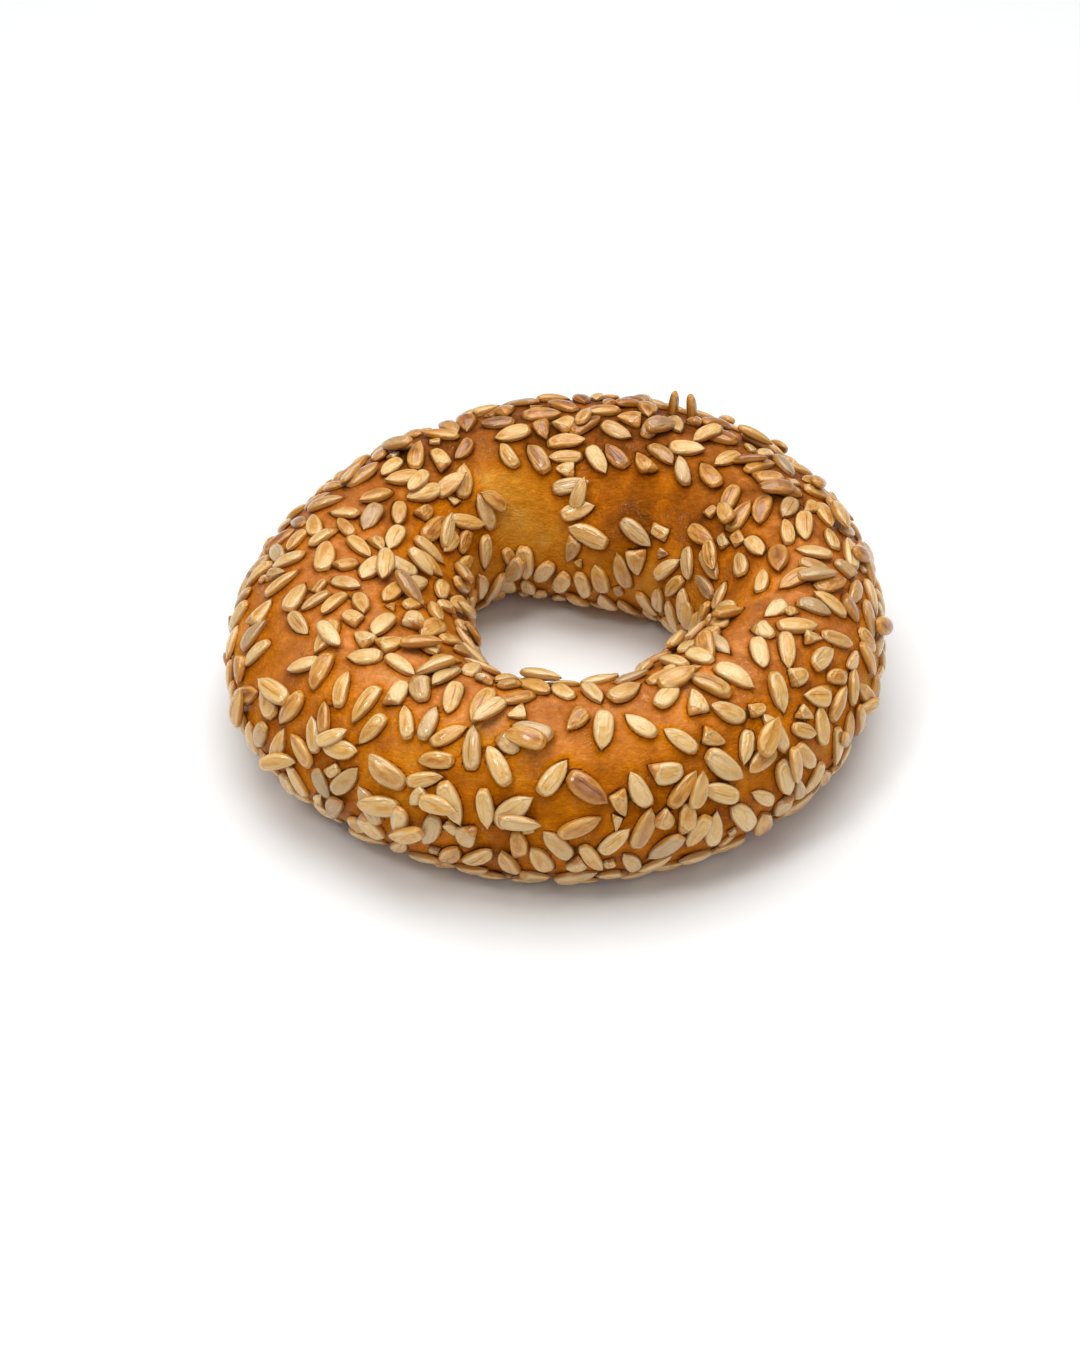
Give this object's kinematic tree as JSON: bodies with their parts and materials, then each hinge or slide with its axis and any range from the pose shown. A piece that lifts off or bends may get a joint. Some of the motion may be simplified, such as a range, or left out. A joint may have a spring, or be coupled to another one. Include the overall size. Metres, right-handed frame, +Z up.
{
  "type": "simit",
  "caption": "Plump ring-shaped bread (simit) baked under a dense crust of hulled sunflower kernels, flat underneath, with a hole through the middle.",
  "frame": {"origin": "on the resting plane, under the middle of the bread's bounding box", "axes": "+Z up out of the flat sole, -Y towards the side seen in front, +X to the right of that view"},
  "size_m": [0.1368, 0.1415, 0.042],
  "materials": {
    "crust": "satin baked crust, golden brown",
    "kernels": "toasted hulled sunflower kernels, low sheen"
  },
  "bodies": {
    "root": {"bread_ring": "crust"}
  },
  "joints": []
}
